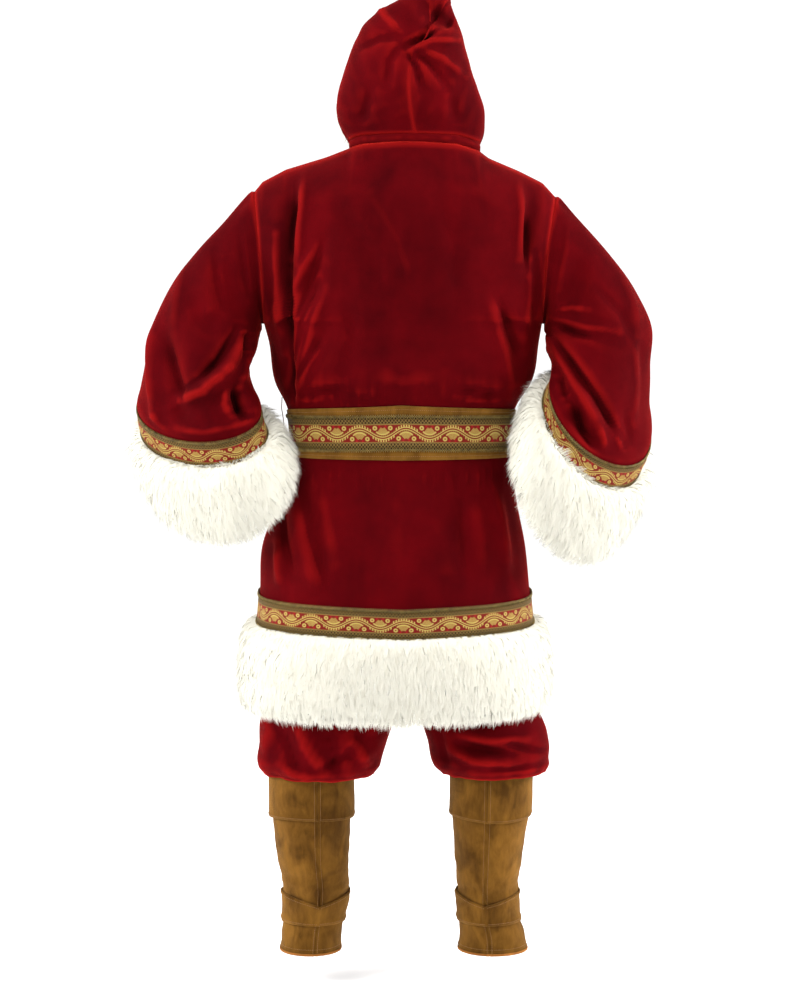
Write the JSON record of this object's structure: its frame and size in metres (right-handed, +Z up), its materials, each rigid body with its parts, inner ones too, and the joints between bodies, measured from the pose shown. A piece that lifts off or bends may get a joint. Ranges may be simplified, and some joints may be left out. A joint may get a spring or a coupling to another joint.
{
  "type": "hooded santa suit worn with belt and boot covers",
  "caption": "Hooded red velvet coat with white fur and brocade bands, suede belt, velvet trousers and suede boot covers, in its worn hollow form.",
  "frame": {"origin": "middle of the shoulders at the base of the neck, where the wearer carries the coat", "axes": "+Z up, the front faces -Y, +X to the wearer's left"},
  "size_m": [0.9774, 0.4527, 1.8169],
  "materials": {
    "velvet": "red velvet, short pile",
    "fur": "long white pile",
    "brocade": "woven gold and dark red band",
    "suede": "matt tan suede",
    "brass": "satin"
  },
  "bodies": {
    "root": {"coat_back": "velvet", "coat_front_left": "velvet", "coat_front_right": "velvet", "sleeve_left": "velvet", "sleeve_right": "velvet", "neck_band": "velvet", "hood_left": "velvet", "hood_right": "velvet", "belt_loop_left": "velvet", "belt_loop_right": "velvet", "trouser_left": "velvet", "trouser_right": "velvet", "waistband": "velvet", "cuff_fur_left": "fur", "cuff_fur_right": "fur", "hem_fur": "fur", "hood_fur": "fur", "cuff_trim_left": "brocade", "cuff_trim_right": "brocade", "hem_trim": "brocade", "belt_trim": "brocade", "belt": "suede", "boot_left": "suede", "boot_right": "suede", "boot_cuff_left": "suede", "boot_cuff_right": "suede", "boot_strap_left": "suede", "boot_strap_right": "suede", "belt_buckle": "brass", "belt_prong": "brass"}
  },
  "joints": []
}
